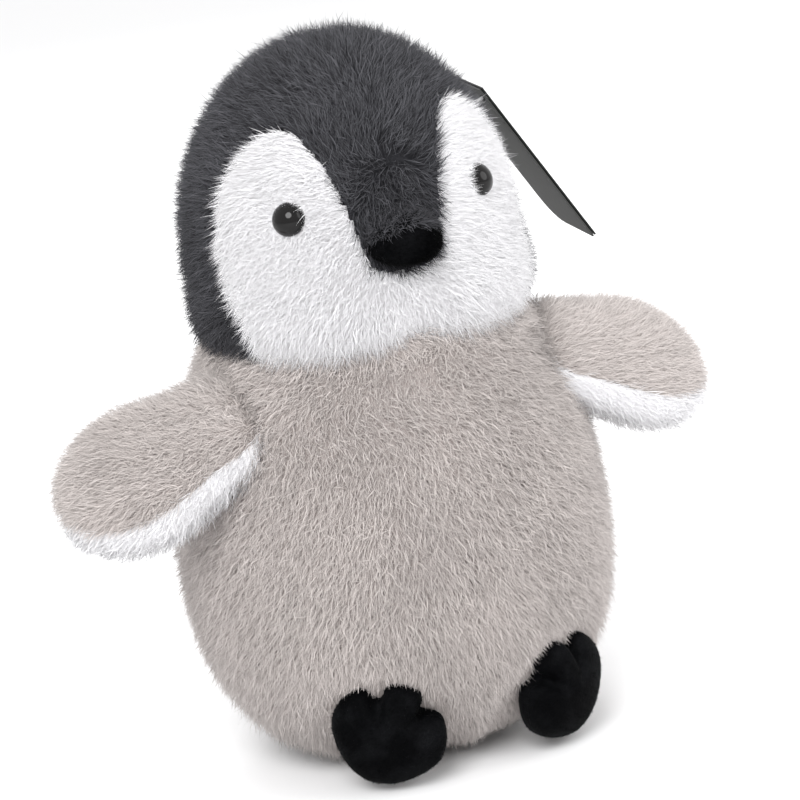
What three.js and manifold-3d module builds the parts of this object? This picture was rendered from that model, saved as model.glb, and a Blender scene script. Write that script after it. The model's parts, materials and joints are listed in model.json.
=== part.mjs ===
// Plush baby penguin: sewn fabric panels over stuffing, safety eyes and a paper hang tag.
// Millimetres, +Z up, the face looks along -Y, and the origin is on the floor below the middle.
// The right flipper, foot and eye are modelled, and the left ones are their mirror images.
import * as THREE from 'three';
import { mergeVertices } from 'three/addons/utils/BufferGeometryUtils.js';
import Module from 'manifold-3d';

const wasm = await Module();
wasm.setup();

// Body: an egg standing on a flat round base, measured over the pile tips.
const bodyWidth = 160;
const bodyDepth = 154;
const bodyWidestHeight = 72;
const bodyUnderReach = 80;
const bodyShoulderReach = 127;
const bodyRoundness = 2.4;
const baseWidth = 86;

// Head: a second egg on the neck seam.
const neckHeight = 155;
const headWidth = 128;
const headDepth = 118;
const headWidestAboveNeck = 33;
const headTopReach = 75.5;
const headChinReach = 90;

// Fabric and stuffing.
const pileHeight = 6;
const backing = 1;
const velourThickness = 1.2;
const seamGap = 0.3;
const fitGap = 0.4;
const limbRoom = 1.6;

// Neck: a ball of stuffing that the head turns and nods on, with room for the pile around it.
const neckBallRadius = 23;
const neckGapAngle = 5.5;

// Face: half of the outline of the white patches, and of the dark band between them.
const bandHalfWidthAtBeak = 14;
const bandHalfWidthAtBrow = 27;
const browAboveNeck = 76;
const patchTopHalfWidth = 36;
const patchTopAboveNeck = 81;
const patchSideHalfWidth = 59;
const patchSideAboveNeck = 42;
const patchJawHalfWidth = 56;

// Eyes.
const eyeDiameter = 12;
const eyeDomeHeight = 5;
const eyePostDiameter = 4;
const eyePostLength = 14;
const eyeAngle = 38;
const eyeAboveNeck = 49;
const washerDiameter = 13;
const washerThickness = 1.5;

// Beak.
const beakWidth = 25;
const beakHeight = 18;
const beakLength = 32;
const beakProud = 9;
const beakAboveNeck = 36;
const beakDroop = 10;

// Flippers.
const flipperLength = 69;
const flipperWidth = 57;
const flipperThickness = 31;
const flipperRootWidth = 45;
const flipperRootThickness = 27;
const flipperHeight = 134;
const flipperAngle = 70;
const flipperInset = 4;
const flipperDroop = 21;
const flipperSweep = 9;
const flipperTwist = 47;
const flipperSeamTilt = 13;
const flipperTravel = [-20, 1, 22];

// Feet.
const footWidth = 43;
const footLength = 41;
const footThickness = 22;
const toeNotch = 2.6;
const toeSpread = 42;
const footAngle = 29;
const footHeight = 21.5;
const footProud = 12;
const footTilt = 8;
const footToeIn = 28;
const footTravel = [-8, 5, 18];

// Pellet bag.
const pelletBagWidth = 68;
const pelletBagHeight = 20;

// Hang tag.
const tagWidth = 40;
const tagLength = 72;
const cardThickness = 0.6;
const tagLeafGap = 0.4;
const tagCorner = 4;
const tagHoleMargin = 4.5;
const tagHoleRadius = 1.5;
const coverHoleRadius = 2.6;
const tagAboveNeck = 67;
const tagAngle = 96;
const tagStandoff = 3.6;
const tagLean = 31;
const tagTurn = 6;
const pinRadius = 0.6;
const pinHeadRadius = 1.9;

// Fineness.
const aroundBody = 28;
const aroundFlipper = 16;
const alongFlipper = 10;
const aroundFoot = 26;
const throughFoot = 6;
const aroundSmall = 14;
const levels = 8;

const skin = pileHeight + backing;
const neckCentre = new THREE.Vector3(0, 0, neckHeight);
const far = 400;
const rad = THREE.MathUtils.degToRad;

// ---- Solids ----

function solid(geometry) {
  const bare = geometry.clone();
  bare.deleteAttribute('normal');
  bare.deleteAttribute('uv');
  const merged = mergeVertices(bare, 1e-5);
  return new wasm.Manifold(new wasm.Mesh({
    numProp: 3,
    vertProperties: new Float32Array(merged.attributes.position.array),
    triVerts: new Uint32Array(merged.index.array),
  }));
}

function geometryOf(manifold) {
  const mesh = manifold.getMesh();
  const geometry = new THREE.BufferGeometry();
  geometry.setAttribute('position', new THREE.BufferAttribute(mesh.vertProperties, 3));
  geometry.setIndex(new THREE.BufferAttribute(mesh.triVerts, 1));
  geometry.computeVertexNormals();
  return geometry;
}

function cut(manifold, cutters) {
  return cutters.reduce((rest, cutter) => rest.subtract(cutter), manifold);
}

function mirrored(geometry) {
  const copy = geometry.clone();
  copy.scale(-1, 1, 1);
  const index = copy.index.array;
  for (let i = 0; i < index.length; i += 3) {
    const first = index[i];
    index[i] = index[i + 1];
    index[i + 1] = first;
  }
  copy.computeVertexNormals();
  return copy;
}

function mirroredPlace(matrix) {
  const flip = new THREE.Matrix4().makeScale(-1, 1, 1);
  return flip.clone().multiply(matrix).multiply(flip);
}

function placed(geometry, matrix) {
  return geometry.clone().applyMatrix4(matrix);
}

function boxBetween(low, high) {
  const size = high.clone().sub(low);
  const box = new THREE.BoxGeometry(size.x, size.y, size.z);
  const middle = low.clone().add(high).multiplyScalar(0.5);
  return box.translate(middle.x, middle.y, middle.z);
}

// The part of space right of the centre seam, and in front of or behind the side seams.
function quarter(front) {
  const edge = seamGap / 2;
  const low = new THREE.Vector3(-far, front ? -far : edge, -far);
  return solid(boxBetween(low, new THREE.Vector3(-edge, front ? -edge : far, far)));
}

function rightHalf() {
  const low = new THREE.Vector3(-far, -far, -far);
  return solid(boxBetween(low, new THREE.Vector3(-seamGap / 2, far, far)));
}

function turned(points, segments) {
  return new THREE.LatheGeometry(points, segments).rotateX(Math.PI / 2);
}

// ---- Body and head forms ----

function bodyRadius(height, inset) {
  const over = height > bodyWidestHeight;
  const reach = (over ? bodyShoulderReach : bodyUnderReach) - inset;
  const power = over ? 2 : bodyRoundness;
  const share = Math.min(1, Math.abs(height - bodyWidestHeight) / reach);
  return (bodyWidth / 2 - inset) * (1 - share ** power) ** (1 / power);
}

function headRadius(height, inset) {
  const offset = height - neckHeight - headWidestAboveNeck;
  const reach = (offset > 0 ? headTopReach : headChinReach) - inset;
  return (headWidth / 2 - inset) * Math.sqrt(Math.max(0, 1 - (offset / reach) ** 2));
}

function bodyForm(inset) {
  const points = [new THREE.Vector2(0, inset)];
  for (let i = 0; i <= levels; i += 1) {
    const rise = (1 - Math.cos((Math.PI * i) / levels)) / 2;
    const share = 0.45 * rise + 0.55 * (i / levels);
    const height = inset + share * (neckHeight - inset);
    points.push(new THREE.Vector2(bodyRadius(height, inset), height));
  }
  points.push(new THREE.Vector2(0, neckHeight));
  return solid(turned(points, aroundBody).scale(1, (bodyDepth - inset * 2) / (bodyWidth - inset * 2), 1));
}

function headForm(inset) {
  const top = neckHeight + headWidestAboveNeck + headTopReach - inset;
  const points = [new THREE.Vector2(0, neckHeight)];
  for (let i = 0; i < levels; i += 1) {
    const height = neckHeight + (top - neckHeight) * Math.sin((Math.PI / 2) * (i / levels));
    points.push(new THREE.Vector2(headRadius(height, inset), height));
  }
  points.push(new THREE.Vector2(0, top));
  return solid(turned(points, aroundBody).scale(1, (headDepth - inset * 2) / (headWidth - inset * 2), 1));
}

// A point on the pile's surface at an angle from the face towards the right side, and the way out there.
function surfaceFrame(radius, depthShare, angle, height) {
  const at = (a, h) => new THREE.Vector3(
    -radius(h, 0) * Math.sin(a),
    -radius(h, 0) * Math.cos(a) * depthShare,
    h,
  );
  const point = at(angle, height);
  const along = at(angle + 0.01, height).sub(point);
  const up = at(angle, height + 1).sub(point);
  return { point, out: up.cross(along).normalize() };
}

const onBody = (angle, height) => surfaceFrame(bodyRadius, bodyDepth / bodyWidth, angle, height);
const onHead = (angle, height) => surfaceFrame(headRadius, headDepth / headWidth, angle, height);

// The neck's wedge-shaped gap with the round hollow for its ball.
function neckClearance() {
  const hollow = neckBallRadius + fitGap;
  const slope = rad(neckGapAngle);
  const points = [];
  for (let i = 0; i <= 6; i += 1) {
    const angle = -Math.PI / 2 + (i / 6) * (Math.PI / 2 - slope);
    points.push(new THREE.Vector2(hollow * Math.cos(angle), neckHeight + hollow * Math.sin(angle)));
  }
  points[0].x = 0;
  points.push(new THREE.Vector2(far / 2, neckHeight - (far / 2) * Math.tan(slope)));
  const upper = points.map((p) => new THREE.Vector2(p.x, 2 * neckHeight - p.y)).reverse();
  return solid(turned([...points, ...upper], aroundBody));
}

function neckStuffing() {
  const ball = new THREE.SphereGeometry(neckBallRadius, aroundBody, 12).rotateX(Math.PI / 2);
  return ball.translate(neckCentre.x, neckCentre.y, neckCentre.z);
}

function baseForm(gap) {
  const disc = new THREE.CylinderGeometry(baseWidth / 2 + gap, baseWidth / 2 + gap, skin * 2, aroundBody);
  return disc.rotateX(Math.PI / 2).scale(1, bodyDepth / bodyWidth, 1);
}

function pelletForm(gap) {
  const half = pelletBagWidth / 2 + gap;
  const low = skin + fitGap - gap * 2;
  const top = skin + fitGap + pelletBagHeight + gap;
  const shoulder = skin + fitGap + pelletBagHeight * 0.45;
  const points = [new THREE.Vector2(0, low), new THREE.Vector2(half, low)];
  for (let i = 0; i < 6; i += 1) {
    const angle = (Math.PI / 2) * (i / 6);
    points.push(new THREE.Vector2(half * Math.cos(angle), shoulder + (top - shoulder) * Math.sin(angle)));
  }
  points.push(new THREE.Vector2(0, top));
  return turned(points, aroundFlipper);
}

// ---- Face outline ----

// The white patch of the right side, seen from the front, grown by a gap.
function patchShape(gap) {
  const shape = new THREE.Shape();
  const beakLevel = neckHeight + beakAboveNeck - beakHeight / 2;
  const brow = neckHeight + browAboveNeck;
  const top = neckHeight + patchTopAboveNeck + gap;
  const inner = -bandHalfWidthAtBeak + gap;
  const side = -patchSideHalfWidth - gap;
  shape.moveTo(gap > 0 ? far : -seamGap / 2, -far);
  shape.lineTo(gap > 0 ? far : -seamGap / 2, beakLevel);
  shape.lineTo(inner, beakLevel);
  shape.quadraticCurveTo(inner - 4, brow - 20, -bandHalfWidthAtBrow + gap, brow);
  shape.quadraticCurveTo(-patchTopHalfWidth + 3, top, -patchTopHalfWidth - 2, top - 1);
  shape.quadraticCurveTo(side + 8, top - 14, side, neckHeight + patchSideAboveNeck);
  shape.quadraticCurveTo(side - 1, neckHeight + 16, -patchJawHalfWidth - gap, neckHeight - 6);
  shape.lineTo(-patchJawHalfWidth - gap, -far);
  return shape;
}

function patchPrism(gap) {
  const options = { depth: far, bevelEnabled: false, curveSegments: 5 };
  return solid(new THREE.ExtrudeGeometry(patchShape(gap), options).rotateX(Math.PI / 2));
}

// ---- Eyes ----

function eyePlace() {
  const { point, out } = onHead(rad(eyeAngle), neckHeight + eyeAboveNeck);
  const turn = new THREE.Quaternion().setFromUnitVectors(new THREE.Vector3(0, 0, 1), out);
  const seat = point.clone().addScaledVector(out, -pileHeight);
  return new THREE.Matrix4().compose(seat, turn, new THREE.Vector3(1, 1, 1));
}

function eyeForm() {
  const post = eyePostDiameter / 2;
  const points = [new THREE.Vector2(0, -eyePostLength), new THREE.Vector2(post, -eyePostLength)];
  points.push(new THREE.Vector2(post, 0));
  for (let i = 0; i < 6; i += 1) {
    const angle = (Math.PI / 2) * (i / 6);
    points.push(new THREE.Vector2((eyeDiameter / 2) * Math.cos(angle), eyeDomeHeight * Math.sin(angle)));
  }
  points.push(new THREE.Vector2(0, eyeDomeHeight));
  return turned(points, aroundSmall);
}

function washerForm() {
  const bore = eyePostDiameter / 2 + fitGap;
  const low = -backing - fitGap - washerThickness;
  const points = [
    new THREE.Vector2(bore, low),
    new THREE.Vector2(washerDiameter / 2, low),
    new THREE.Vector2(washerDiameter / 2, low + washerThickness),
    new THREE.Vector2(bore, low + washerThickness),
    new THREE.Vector2(bore, low),
  ];
  return turned(points, aroundSmall);
}

// The well in the pile for the dome, the hole in the backing, and the hollow behind for the washer.
function eyeClearance() {
  const post = eyePostDiameter / 2 + fitGap;
  const well = eyeDiameter / 2 + fitGap;
  const recess = washerDiameter / 2 + fitGap;
  const washerBack = -backing - 2 * fitGap - washerThickness;
  const points = [
    new THREE.Vector2(0, -eyePostLength - fitGap),
    new THREE.Vector2(post, -eyePostLength - fitGap),
    new THREE.Vector2(post, washerBack),
    new THREE.Vector2(recess, washerBack),
    new THREE.Vector2(recess, -backing),
    new THREE.Vector2(post, -backing),
    new THREE.Vector2(post, -fitGap),
    new THREE.Vector2(well, -fitGap),
    new THREE.Vector2(well, pileHeight * 2),
    new THREE.Vector2(0, pileHeight * 2),
  ];
  return turned(points, aroundSmall);
}

// ---- Beak ----

function beakForm(inset) {
  const ball = new THREE.SphereGeometry(1, aroundFlipper, 10);
  ball.scale(beakWidth / 2 - inset, beakLength / 2 - inset, beakHeight / 2 - inset);
  const middle = beakProud - beakLength / 2;
  ball.rotateX(rad(beakDroop));
  return ball.translate(0, -headDepth / 2 - middle, neckHeight + beakAboveNeck);
}

function beakRoom() {
  const low = new THREE.Vector3(-far, -far, -far);
  return solid(boxBetween(low, new THREE.Vector3(far, -headDepth / 2 + skin + 2, far)));
}

function beakHalf(upper) {
  const shell = solid(beakForm(0)).subtract(solid(beakForm(velourThickness))).intersect(beakRoom());
  const edge = (upper ? 1 : -1) * (seamGap / 2);
  const slab = boxBetween(
    new THREE.Vector3(-far, -far, upper ? edge : -far),
    new THREE.Vector3(far, far, upper ? far : edge),
  );
  slab.rotateX(rad(beakDroop));
  slab.translate(0, -headDepth / 2 - beakProud + beakLength / 2, neckHeight + beakAboveNeck);
  return shell.intersect(solid(slab));
}

// ---- Flippers ----

// A paddle along +X with its round root on the hinge line, which is the local Y axis.
function flipperForm(inset, around = aroundFlipper, along = alongFlipper) {
  const root = flipperRootThickness / 2 - inset;
  const reach = flipperLength - inset;
  const ball = new THREE.SphereGeometry(1, around, along).rotateZ(-Math.PI / 2);
  const position = ball.attributes.position;
  const fullWidth = flipperWidth / 2 - inset;
  const fullThickness = flipperThickness / 2 - inset;
  const rootWidth = flipperRootWidth / 2 - inset;
  for (let i = 0; i < position.count; i += 1) {
    const across = Math.hypot(position.getY(i), position.getZ(i));
    const x = -root + ((position.getX(i) + 1) / 2) * (reach + root);
    const swell = THREE.MathUtils.smoothstep(x, 0, flipperLength * 0.55);
    const width = THREE.MathUtils.lerp(rootWidth, fullWidth, swell);
    const thickness = THREE.MathUtils.lerp(root, fullThickness, swell);
    const tipStart = reach * 0.5;
    const tip = Math.sqrt(Math.max(0, 1 - (Math.max(0, x - tipStart) / (reach - tipStart)) ** 2.2));
    const heel = Math.sqrt(Math.max(0, 1 - (Math.min(0, x) / root) ** 2));
    const unit = across > 1e-6 ? (tip * heel) / across : 0;
    position.setXYZ(i, x, position.getY(i) * unit * width, position.getZ(i) * unit * thickness);
  }
  return ball;
}

// The right flipper's place: X along it, Y across to its lower front edge, Z out of its upper face.
function flipperPlace() {
  const droop = rad(flipperDroop);
  const sweep = rad(flipperSweep);
  const twist = rad(flipperTwist);
  const along = new THREE.Vector3(
    -Math.cos(droop) * Math.cos(sweep),
    Math.cos(droop) * Math.sin(sweep),
    -Math.sin(droop),
  );
  const level = new THREE.Vector3(-Math.sin(sweep), -Math.cos(sweep), 0);
  const over = along.clone().cross(level);
  const across = level.clone().multiplyScalar(Math.cos(twist)).addScaledVector(over, -Math.sin(twist));
  const face = along.clone().cross(across);
  const { point, out } = onBody(rad(flipperAngle), flipperHeight);
  const root = point.clone().addScaledVector(out, -flipperInset);
  return new THREE.Matrix4().makeBasis(along, across, face).setPosition(root);
}

function flipperCut(upper) {
  const edge = (upper ? 1 : -1) * (seamGap / 2);
  const slab = boxBetween(
    new THREE.Vector3(-far, -far, upper ? edge : -far),
    new THREE.Vector3(far, far, upper ? far : edge),
  );
  slab.rotateX(rad(flipperSeamTilt));
  const lift = Math.tan(rad(flipperSeamTilt)) * (flipperWidth / 2);
  return solid(slab.translate(0, 0, lift));
}

function flipperShell() {
  return solid(flipperForm(0)).subtract(solid(flipperForm(skin)));
}

// All that a flipper sweeps at its root, for the armhole in the body.
function flipperSweepCutters() {
  const grown = flipperForm(-limbRoom, 12, 8);
  return flipperTravel.map((angle) => {
    const turn = new THREE.Matrix4().makeRotationY(-rad(angle));
    return solid(placed(grown, flipperPlace().multiply(turn)));
  });
}

// ---- Feet ----

// A three-toed pad: X across, Y towards the toes, Z out of the sole.
function footForm(inset, around = aroundFoot, notchDepth = toeNotch) {
  const ball = new THREE.SphereGeometry(1, around, throughFoot).rotateX(Math.PI / 2);
  const position = ball.attributes.position;
  for (let i = 0; i < position.count; i += 1) {
    const x = position.getX(i);
    const y = position.getY(i);
    const across = Math.min(1, Math.hypot(x, y));
    const angle = Math.atan2(x, y);
    const toes = Math.max(0, 1 - Math.abs(angle) / rad(toeSpread * 1.5));
    const notch = notchDepth * toes ** 0.3 * (0.5 - 0.5 * Math.cos((2 * Math.PI * angle) / rad(toeSpread)));
    const grip = (footWidth / 2 - inset - notch * across ** 2) / (footWidth / 2);
    const thick = Math.sign(position.getZ(i)) * Math.abs(position.getZ(i)) ** 0.8;
    position.setXYZ(
      i,
      x * grip * (footWidth / 2),
      y * grip * (footLength / 2),
      thick * (footThickness / 2 - inset),
    );
  }
  return ball;
}

function footPlace() {
  const { point } = onBody(rad(footAngle), footHeight);
  const outward = new THREE.Vector3(point.x, point.y, 0).normalize();
  const middle = point.clone().addScaledVector(outward, footProud - footThickness / 2);
  const turn = new THREE.Matrix4().makeRotationZ(-Math.atan2(-point.x, -point.y));
  const tilt = new THREE.Matrix4().makeRotationX(Math.PI / 2 + rad(footTilt));
  const toeIn = new THREE.Matrix4().makeRotationZ(-rad(footToeIn));
  return turn.multiply(tilt).multiply(toeIn).setPosition(middle);
}

// The foot flexes about a level line at the middle of its back, where it is sewn on.
function footSweepCutters() {
  const grown = footForm(-limbRoom, 12, 0);
  const place = footPlace();
  const hinge = footHinge();
  return footTravel.map((angle) => {
    const move = new THREE.Matrix4().makeTranslation(hinge.point.x, hinge.point.y, hinge.point.z);
    move.multiply(new THREE.Matrix4().makeRotationAxis(hinge.axis, rad(angle)));
    move.multiply(new THREE.Matrix4().makeTranslation(-hinge.point.x, -hinge.point.y, -hinge.point.z));
    return solid(placed(grown, move.multiply(place)));
  });
}

function footHinge() {
  const { point } = onBody(rad(footAngle), footHeight);
  const outward = new THREE.Vector3(point.x, point.y, 0).normalize();
  const axis = new THREE.Vector3(0, 0, 1).cross(outward);
  const back = point.clone().addScaledVector(outward, footProud - footThickness);
  return { point: back, axis };
}

function footHalf(sole) {
  const shell = solid(footForm(0)).subtract(solid(footForm(velourThickness)));
  const edge = (sole ? 1 : -1) * (seamGap / 2);
  const slab = boxBetween(
    new THREE.Vector3(-far, -far, sole ? edge : -far),
    new THREE.Vector3(far, far, sole ? far : edge),
  );
  return shell.intersect(solid(slab));
}

// ---- Hang tag ----

// Tag place on the left side of the head: X to the back edge, Y to the top, Z away from the head.
function tagPlace() {
  const { point, out } = onHead(-rad(tagAngle), neckHeight + tagAboveNeck);
  const down = new THREE.Vector3(Math.sin(rad(tagLean)), 0, -Math.cos(rad(tagLean)));
  const back = new THREE.Vector3(Math.sin(rad(tagTurn)), Math.cos(rad(tagTurn)), 0);
  back.addScaledVector(down, -back.dot(down)).normalize();
  const up = down.clone().negate();
  const away = back.clone().cross(up);
  const hole = point.clone().addScaledVector(out, tagStandoff);
  return new THREE.Matrix4().makeBasis(back, up, away).setPosition(hole);
}

// One leaf of the card, with its hole at the local origin.
function leafForm(holeRadius) {
  const left = -tagHoleMargin;
  const right = left + tagWidth;
  const top = tagHoleMargin;
  const low = top - tagLength;
  const shape = new THREE.Shape();
  shape.moveTo(left, low);
  shape.lineTo(right - tagCorner * 3, low);
  shape.quadraticCurveTo(right, low, right, low + tagCorner * 3);
  shape.lineTo(right, top - tagCorner);
  shape.quadraticCurveTo(right, top, right - tagCorner, top);
  shape.lineTo(left, top);
  const hole = new THREE.Path();
  hole.absarc(0, 0, holeRadius, 0, 2 * Math.PI, true);
  shape.holes.push(hole);
  const options = { depth: cardThickness, bevelEnabled: false, curveSegments: 6 };
  return new THREE.ExtrudeGeometry(shape, options);
}

function pinForm() {
  const low = -tagStandoff + 1;
  const headLow = cardThickness + tagLeafGap / 4;
  const top = cardThickness * 2 + tagLeafGap;
  const points = [
    new THREE.Vector2(0, low),
    new THREE.Vector2(pinRadius, low),
    new THREE.Vector2(pinRadius, headLow),
    new THREE.Vector2(pinHeadRadius, headLow),
    new THREE.Vector2(pinHeadRadius, top),
    new THREE.Vector2(0, top),
  ];
  return turned(points, 12);
}

// ---- Materials ----

function finish(colour, roughness) {
  return new THREE.MeshStandardMaterial({ color: colour, roughness, metalness: 0 });
}

const greyPile = finish(0xb4aaa6, 0.95);
const charcoalPile = finish(0x3c3c3f, 0.95);
const whitePile = finish(0xf0eff1, 0.95);
const blackVelour = finish(0x121315, 0.85);
const blackGloss = finish(0x08080a, 0.1);
const fibreFill = finish(0xf7f5ef, 1);
const pelletCloth = finish(0xd8d2c4, 0.95);
const washerPlastic = finish(0xe8e8e4, 0.5);
const blackCard = finish(0x1c1c1c, 0.45);
const pinPlastic = finish(0xe6e6e6, 0.3);

// ---- Assembly ----

const penguin = new THREE.Group();

function add(parent, name, geometry, material) {
  const mesh = new THREE.Mesh(geometry, material);
  mesh.name = name;
  parent.add(mesh);
}

function addPair(name, geometry, material) {
  add(penguin, `${name}_right`, geometry, material);
  add(penguin, `${name}_left`, mirrored(geometry), material);
}

function group(matrix) {
  const holder = new THREE.Group();
  holder.applyMatrix4(matrix);
  penguin.add(holder);
  return holder;
}

// Adds a list of [name, geometry, material] on the right and mirrored on the left.
function addLimb(place, pieces) {
  const right = group(place);
  const left = group(mirroredPlace(place));
  pieces.forEach(([name, geometry, material]) => {
    add(right, `${name}_right`, geometry, material);
    add(left, `${name}_left`, mirrored(geometry), material);
  });
}

function bothSides(geometries) {
  return geometries.flatMap((geometry) => [solid(geometry), solid(mirrored(geometry))]);
}

function addBody(neckGap, limbCutters) {
  const rightCutters = [neckGap, ...limbCutters];
  const shell = bodyForm(0).subtract(bodyForm(skin));
  const wall = cut(shell, [...rightCutters, solid(baseForm(seamGap))]);
  addPair('body_front_panel', geometryOf(wall.intersect(quarter(true))), greyPile);
  addPair('body_back_panel', geometryOf(wall.intersect(quarter(false))), greyPile);
  const base = shell.intersect(solid(baseForm(0)));
  add(penguin, 'base_panel', geometryOf(cut(base, limbCutters)), greyPile);
  const mirroredCutters = limbCutters.map((cutter) => solid(mirrored(geometryOf(cutter))));
  const cutters = [...rightCutters, ...mirroredCutters, solid(pelletForm(fitGap))];
  add(penguin, 'body_stuffing', geometryOf(cut(bodyForm(skin + seamGap), cutters)), fibreFill);
  add(penguin, 'pellet_bag', pelletForm(0), pelletCloth);
  add(penguin, 'neck_stuffing', neckStuffing(), fibreFill);
}

function addHead(neckGap) {
  const eyeHollow = placed(eyeClearance(), eyePlace());
  const beakHollow = solid(beakForm(-fitGap)).intersect(beakRoom());
  const shell = cut(headForm(0).subtract(headForm(skin)), [neckGap, solid(eyeHollow), beakHollow]);
  const half = shell.intersect(rightHalf());
  addPair('face_panel', geometryOf(half.intersect(patchPrism(0))), whitePile);
  addPair('hood_panel', geometryOf(half.subtract(patchPrism(seamGap))), charcoalPile);
  const deepBeak = solid(beakForm(-fitGap));
  const hollows = [neckGap, deepBeak, ...bothSides([eyeHollow])];
  add(penguin, 'head_stuffing', geometryOf(cut(headForm(skin + seamGap), hollows)), fibreFill);
}

function addEyes() {
  addLimb(eyePlace(), [
    ['eye', eyeForm(), blackGloss],
    ['eye_washer', washerForm(), washerPlastic],
  ]);
}

function addBeak() {
  add(penguin, 'beak_upper', geometryOf(beakHalf(true)), blackVelour);
  add(penguin, 'beak_lower', geometryOf(beakHalf(false)), blackVelour);
  const filling = solid(beakForm(velourThickness + seamGap)).intersect(beakRoom());
  add(penguin, 'beak_stuffing', geometryOf(filling), fibreFill);
}

function addFlippers() {
  addLimb(flipperPlace(), [
    ['flipper_upper', geometryOf(flipperShell().intersect(flipperCut(true))), greyPile],
    ['flipper_under', geometryOf(flipperShell().intersect(flipperCut(false))), whitePile],
    ['flipper_stuffing', flipperForm(skin + seamGap), fibreFill],
  ]);
}

function addFeet() {
  addLimb(footPlace(), [
    ['foot_sole', geometryOf(footHalf(true)), blackVelour],
    ['foot_upper', geometryOf(footHalf(false)), blackVelour],
    ['foot_stuffing', footForm(velourThickness + seamGap), fibreFill],
  ]);
}

function addTag() {
  const holder = group(tagPlace());
  add(holder, 'tag_back', leafForm(tagHoleRadius), blackCard);
  const cover = leafForm(coverHoleRadius).translate(0, 0, cardThickness + tagLeafGap);
  add(holder, 'tag_cover', cover, blackCard);
  add(holder, 'tag_pin', pinForm(), pinPlastic);
}

const neckGap = neckClearance();
addBody(neckGap, [...flipperSweepCutters(), ...footSweepCutters()]);
addHead(neckGap);
addEyes();
addBeak();
addFlippers();
addFeet();
addTag();

export default penguin;
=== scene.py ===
import json
import math

import bpy
import numpy as np
from bpy.props import FloatProperty, FloatVectorProperty, IntProperty, PointerProperty
from mathutils import Matrix, Vector
from mathutils.kdtree import KDTree


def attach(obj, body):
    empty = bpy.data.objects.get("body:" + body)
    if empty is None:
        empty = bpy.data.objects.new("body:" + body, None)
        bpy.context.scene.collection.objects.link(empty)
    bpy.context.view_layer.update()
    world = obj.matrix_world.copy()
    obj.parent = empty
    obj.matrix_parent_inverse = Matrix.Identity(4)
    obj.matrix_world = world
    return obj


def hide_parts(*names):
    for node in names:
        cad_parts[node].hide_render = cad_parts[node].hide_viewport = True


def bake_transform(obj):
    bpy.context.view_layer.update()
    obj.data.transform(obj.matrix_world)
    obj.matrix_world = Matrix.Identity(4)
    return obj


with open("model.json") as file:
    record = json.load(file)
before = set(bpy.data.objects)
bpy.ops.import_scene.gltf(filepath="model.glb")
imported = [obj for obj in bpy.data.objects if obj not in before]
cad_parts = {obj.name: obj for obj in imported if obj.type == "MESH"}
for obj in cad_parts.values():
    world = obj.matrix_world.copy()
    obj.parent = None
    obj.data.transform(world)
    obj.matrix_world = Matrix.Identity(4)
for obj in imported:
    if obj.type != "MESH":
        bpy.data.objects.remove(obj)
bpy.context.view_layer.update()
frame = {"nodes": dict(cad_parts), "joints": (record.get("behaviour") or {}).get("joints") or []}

bl_info = {
    "name": "Plush Penguin",
    "version": (1, 0, 0),
    "blender": (4, 5, 0),
    "location": "View3D > Sidebar > Penguin",
    "description": "Dresses a penguin's fixed frame in stuffed cloth with a real pile",
    "category": "Object",
}

MM = 0.001
SIDES = {"right": -1, "left": 1}
JOINTS = {joint["name"]: joint for joint in frame["joints"]}

# The body and head are ovals of revolution, squeezed a little from front to back.
BODY_HALF = 80 * MM
BODY_SQUEEZE = 154 / 160
BODY_WIDEST = 72 * MM
BODY_UNDER = 80 * MM
BODY_ROUNDNESS = 2.4
BODY_SHOULDER = 127 * MM
HEAD_HALF = 64 * MM
HEAD_SQUEEZE = 118 / 128
HEAD_WIDEST = 188 * MM
HEAD_TOP = 75.5 * MM
HEAD_CHIN = 90 * MM
NECK = 155 * MM
NECK_GAP = 5 * MM
BACKING = 1 * MM
CHEEK_SWELL = 6 * MM
BODY_FULLNESS = 1.5 * MM
CHIN_DROP = 3 * MM

FLIPPER_LENGTH = 69 * MM
FLIPPER_HALF_WIDTH = 28.5 * MM
FLIPPER_HALF_THICKNESS = 15.5 * MM
FLIPPER_ROOT_WIDTH = 22.5 * MM
FLIPPER_ROOT_THICKNESS = 13.5 * MM
FLIPPER_DROOP = math.radians(21)
FLIPPER_SWEEP = math.radians(9)
FLIPPER_SEAM_TILT = math.radians(13)

FOOT_HALF_WIDTH = 21.5 * MM
FOOT_HALF_LENGTH = 20.5 * MM
FOOT_HALF_THICKNESS = 11 * MM
FOOT_TILT = math.radians(98)
FOOT_TOE_IN = math.radians(28)
TOE_SPREAD = math.radians(64)
TOE_NOTCH = 10 * MM
HEEL_TAPER = 0.17

BEAK_HALF = Vector((12.5 * MM, 16 * MM, 9 * MM))
BEAK_MIDDLE = Vector((0, -52 * MM, 191 * MM))
BEAK_DROOP = math.radians(10)
MOUTH_GAP = 0.02 * MM

# Pile: the share and length of the stray guard hairs, the share of the short undercoat,
# how deep a strand is rooted, and how many strands grow on each smaller piece.
GUARD_SHARE = 0.05
GUARD_REACH = 1.35
UNDERCOAT_SHARE = 0.9
UNDERCOAT_REACH = 0.88
UNDERCOAT_WIDTH = 0.82
ROOT_DEPTH = 0.4 * MM
GRAIN_DEPTH = 0.3 * MM
LOCK_SIZE = 4
FACE_COUNT = 35000
NECK_COUNT = 9000
FLIPPER_COUNT = {"upper": 14000, "under": 10500}
FOOT_COUNT = {"upper": 7000, "sole": 3000}
BEAK_COUNT = 4200
BROW_COUNT = 3600
HEAD_SAMPLES = 110000

EYE_RADIUS = 6 * MM
EYE_DOME = 5 * MM
EYE_POST_RADIUS = 2 * MM
EYE_POST_LENGTH = 14 * MM
EYE_CLEARING = 3.5 * MM
EYE_PARTING = (5 * MM, 12 * MM)
EYE_PARTED = 0.62


# ---- Sizes and colours ----


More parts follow.
